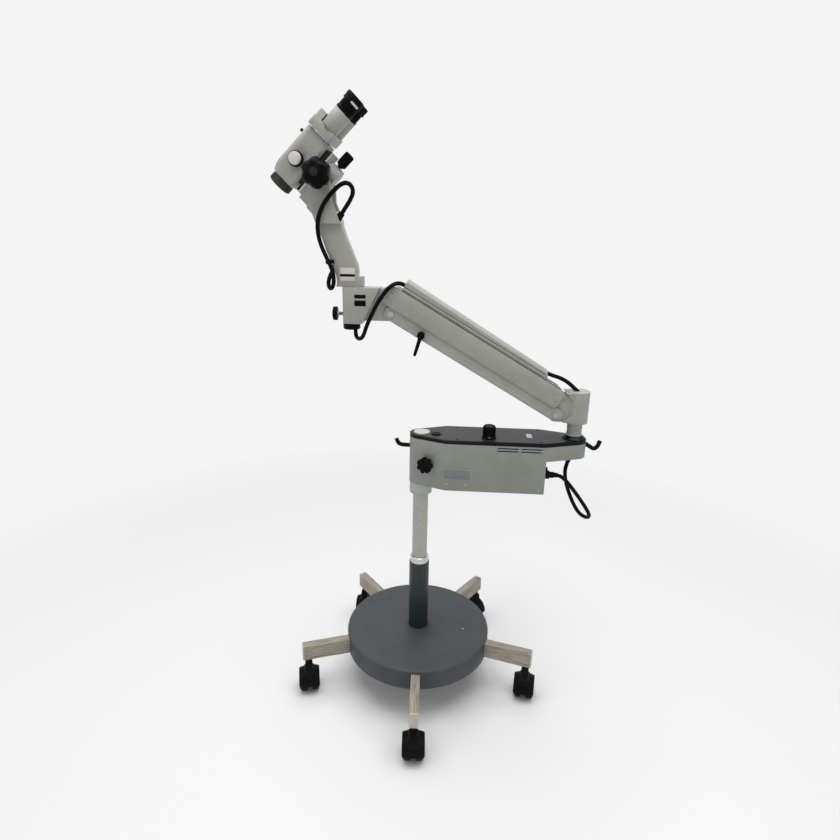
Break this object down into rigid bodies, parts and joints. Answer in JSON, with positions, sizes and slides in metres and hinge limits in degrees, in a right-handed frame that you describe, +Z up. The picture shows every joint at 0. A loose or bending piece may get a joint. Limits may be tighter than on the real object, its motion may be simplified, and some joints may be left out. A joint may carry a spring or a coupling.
{
  "type": "surgical microscope",
  "caption": "Binocular surgical microscope on a balanced parallel arm, carried by a power box on a rolling five-legged column stand with twin-wheel casters.",
  "frame": {"origin": "on the floor, on the column's axis", "axes": "+Z up along the column; the parallel arm lies along X, with the optics at -X and its rear post at +X"},
  "size_m": [0.9025, 0.7185, 1.6697],
  "materials": {
    "grey_paint": "satin",
    "disc_paint": "satin",
    "sleeve_paint": "satin",
    "leg_alloy": "brushed",
    "chrome_ring": "polished",
    "steel_tube": "satin",
    "black_plastic": "matte",
    "gloss_black": "gloss",
    "wheel_rubber": "matte",
    "lid_paint": "satin",
    "cable_sheath": "matte",
    "lens_glass": "clear",
    "pale_plate": "satin",
    "inner_metal": "satin"
  },
  "bodies": {
    "base": {"base_disc": "disc_paint", "star_legs": "leg_alloy", "leg_end_caps": "pale_plate", "column_sleeve": "sleeve_paint", "column_collar": "chrome_ring", "column_tube": "steel_tube"},
    "caster_1": {"caster_1_yoke": "black_plastic"},
    "wheels_1": {"caster_1_wheels": "wheel_rubber"},
    "caster_2": {"caster_2_yoke": "black_plastic"},
    "wheels_2": {"caster_2_wheels": "wheel_rubber"},
    "caster_3": {"caster_3_yoke": "black_plastic"},
    "wheels_3": {"caster_3_wheels": "wheel_rubber"},
    "caster_4": {"caster_4_yoke": "black_plastic"},
    "wheels_4": {"caster_4_wheels": "wheel_rubber"},
    "caster_5": {"caster_5_yoke": "black_plastic"},
    "wheels_5": {"caster_5_wheels": "wheel_rubber"},
    "power_box": {"box_housing": "grey_paint", "box_lid": "lid_paint", "pivot_hub": "steel_tube", "pivot_cap": "chrome_ring", "box_plates": "pale_plate", "cable_hooks": "grey_paint", "box_connectors": "black_plastic", "box_cord": "cable_sheath", "lamp_module": "inner_metal", "transformer": "inner_metal", "rear_post": "grey_paint"},
    "power_button": {"power_button": "black_plastic"},
    "brightness_knob": {"brightness_knob": "black_plastic"},
    "swivel_lock": {"swivel_lock_knob": "black_plastic"},
    "rear_head": {"rear_housing": "grey_paint", "rear_pins": "steel_tube", "rear_cord": "cable_sheath"},
    "arm_upper": {"arm_cover": "grey_paint", "cable_duct": "grey_paint", "spring_cartridge": "inner_metal", "front_cord": "cable_sheath"},
    "arm_lower": {"arm_lower_link": "grey_paint"},
    "arm_brake": {"brake_lever": "black_plastic"},
    "front_block": {"front_block": "grey_paint", "front_pins": "steel_tube", "swivel_cap": "black_plastic"},
    "carrier_clamp": {"carrier_clamp_knob": "black_plastic"},
    "carrier": {"carrier_arm": "grey_paint", "carrier_cord": "cable_sheath", "carrier_gland": "black_plastic"},
    "tilt": {"tilt_housing": "grey_paint", "focus_rail": "steel_tube"},
    "tilt_knob": {"tilt_knob": "gloss_black"},
    "focus_knob": {"focus_knob": "black_plastic"},
    "head": {"head_body": "grey_paint", "slide_bracket": "black_plastic", "objective_ring": "black_plastic", "objective_lens": "lens_glass", "binocular_base": "grey_paint"},
    "magnification": {"magnification_knobs": "black_plastic"},
    "tube_left": {"tube_left": "grey_paint"},
    "tube_right": {"tube_right": "grey_paint"},
    "eyepiece_left": {"eyepiece_left": "black_plastic"},
    "eyepiece_right": {"eyepiece_right": "black_plastic"}
  },
  "joints": [
    {"name": "caster_1_swivel", "type": "hinge", "parent": "base", "child": "caster_1", "pos_m": [0.0132, -0.34375, 0.1], "axis": [0, 0, 1], "continuous": true},
    {"name": "caster_1_roll", "type": "hinge", "parent": "caster_1", "child": "wheels_1", "pos_m": [0.01251, -0.33377, 0.034], "axis": [0.9976, 0.0698, 0], "continuous": true},
    {"name": "caster_2_swivel", "type": "hinge", "parent": "base", "child": "caster_2", "pos_m": [0.331, -0.09366, 0.1], "axis": [0, 0, 1], "continuous": true},
    {"name": "caster_2_roll", "type": "hinge", "parent": "caster_2", "child": "wheels_2", "pos_m": [0.33274, -0.08382, 0.034], "axis": [0.9848, -0.1736, 0], "continuous": true},
    {"name": "caster_3_swivel", "type": "hinge", "parent": "base", "child": "caster_3", "pos_m": [0.19137, 0.28586, 0.1], "axis": [0, 0, 1], "continuous": true},
    {"name": "caster_3_roll", "type": "hinge", "parent": "caster_3", "child": "wheels_3", "pos_m": [0.18535, 0.29385, 0.034], "axis": [0.7986, 0.6018, 0], "continuous": true},
    {"name": "caster_4_swivel", "type": "hinge", "parent": "base", "child": "caster_4", "pos_m": [-0.21273, 0.27033, 0.1], "axis": [0, 0, 1], "continuous": true},
    {"name": "caster_4_roll", "type": "hinge", "parent": "caster_4", "child": "wheels_4", "pos_m": [-0.21273, 0.28034, 0.034], "axis": [1, 0, 0], "continuous": true},
    {"name": "caster_5_swivel", "type": "hinge", "parent": "base", "child": "caster_5", "pos_m": [-0.32284, -0.11878, 0.1], "axis": [0, 0, 1], "continuous": true},
    {"name": "caster_5_roll", "type": "hinge", "parent": "caster_5", "child": "wheels_5", "pos_m": [-0.32543, -0.10912, 0.034], "axis": [0.9659, 0.2588, 0], "continuous": true},
    {"name": "box_swivel", "type": "hinge", "parent": "base", "child": "power_box", "pos_m": [0, 0, 0.7], "axis": [0, 0, 1], "range_deg": [-150, 150]},
    {"name": "power_press", "type": "slide", "parent": "power_box", "child": "power_button", "axis": [0, 0, -1], "range_m": [0, 0.002], "stiffness_N_per_m": 400},
    {"name": "brightness_turn", "type": "hinge", "parent": "power_box", "child": "brightness_knob", "pos_m": [0.188, -0.03, 0.82], "axis": [0, 0, 1], "range_deg": [0, 270]},
    {"name": "swivel_lock_turn", "type": "hinge", "parent": "power_box", "child": "swivel_lock", "pos_m": [0.0199, -0.04612, 0.733], "axis": [-0.4077, -0.9131, 0], "range_deg": [0, 120]},
    {"name": "rear_swivel", "type": "hinge", "parent": "power_box", "child": "rear_head", "pos_m": [0.425, 0, 0.9], "axis": [0, 0, 1], "range_deg": [-150, 150]},
    {"name": "arm_lift", "type": "hinge", "parent": "rear_head", "child": "arm_upper", "pos_m": [0.365, 0, 0.929], "axis": [0, 1, 0], "range_deg": [-34, 10], "deforming": ["rear_cord"]},
    {"name": "lower_link_lift", "type": "hinge", "parent": "rear_head", "child": "arm_lower", "pos_m": [0.365, 0, 0.881], "axis": [0, 1, 0], "range_deg": [-34, 10]},
    {"name": "front_level", "type": "hinge", "parent": "arm_upper", "child": "front_block", "pos_m": [-0.08793, 0, 1.1905], "axis": [0, 1, 0], "range_deg": [-10, 34], "deforming": ["front_cord"]},
    {"name": "brake_turn", "type": "hinge", "parent": "arm_lower", "child": "arm_brake", "pos_m": [-0.00593, -0.034, 1.09054], "axis": [0, 1, 0], "range_deg": [-40, 40]},
    {"name": "carrier_clamp_turn", "type": "hinge", "parent": "front_block", "child": "carrier_clamp", "pos_m": [-0.23593, 0, 1.139], "axis": [-1, 0, 0], "range_deg": [0, 120]},
    {"name": "carrier_swivel", "type": "hinge", "parent": "front_block", "child": "carrier", "pos_m": [-0.19593, 0, 1.2005], "axis": [0, 0, 1], "range_deg": [-100, 100]},
    {"name": "head_tilt", "type": "hinge", "parent": "carrier", "child": "tilt", "pos_m": [-0.26693, 0, 1.4823], "axis": [0, 1, 0], "range_deg": [-28, 45]},
    {"name": "tilt_knob_turn", "type": "hinge", "parent": "carrier", "child": "tilt_knob", "pos_m": [-0.26693, -0.06, 1.4823], "axis": [0, -1, 0], "range_deg": [0, 120]},
    {"name": "focus_slide", "type": "slide", "parent": "tilt", "child": "head", "axis": [0.7071, 0, 0.7071], "range_m": [-0.01, 0.01]},
    {"name": "focus_turn", "type": "hinge", "parent": "tilt", "child": "focus_knob", "pos_m": [-0.20471, 0, 1.51907], "axis": [0.7071, 0, 0.7071], "range_deg": [-360, 360]},
    {"name": "magnification_turn", "type": "hinge", "parent": "head", "child": "magnification", "pos_m": [-0.31996, 0, 1.51553], "axis": [0, 1, 0], "continuous": true},
    {"name": "tube_left_slide", "type": "slide", "parent": "head", "child": "tube_left", "axis": [0, 1, 0], "range_m": [-0.006, 0.006]},
    {"name": "tube_right_slide", "type": "slide", "parent": "head", "child": "tube_right", "axis": [0, 1, 0], "range_m": [-0.006, 0.006]},
    {"name": "eyepiece_left_turn", "type": "hinge", "parent": "tube_left", "child": "eyepiece_left", "pos_m": [-0.19764, 0.031, 1.62514], "axis": [0.7071, 0, 0.7071], "range_deg": [-150, 150]},
    {"name": "eyepiece_right_turn", "type": "hinge", "parent": "tube_right", "child": "eyepiece_right", "pos_m": [-0.19764, -0.031, 1.62514], "axis": [0.7071, 0, 0.7071], "range_deg": [-150, 150]}
  ],
  "couplings": [
    {"joint": "lower_link_lift", "follows": "arm_lift", "ratio": 1},
    {"joint": "front_level", "follows": "arm_lift", "ratio": -1},
    {"joint": "tube_right_slide", "follows": "tube_left_slide", "ratio": -1},
    {"joint": "focus_turn", "follows": "focus_slide", "rad_per_m": 628.32}
  ]
}
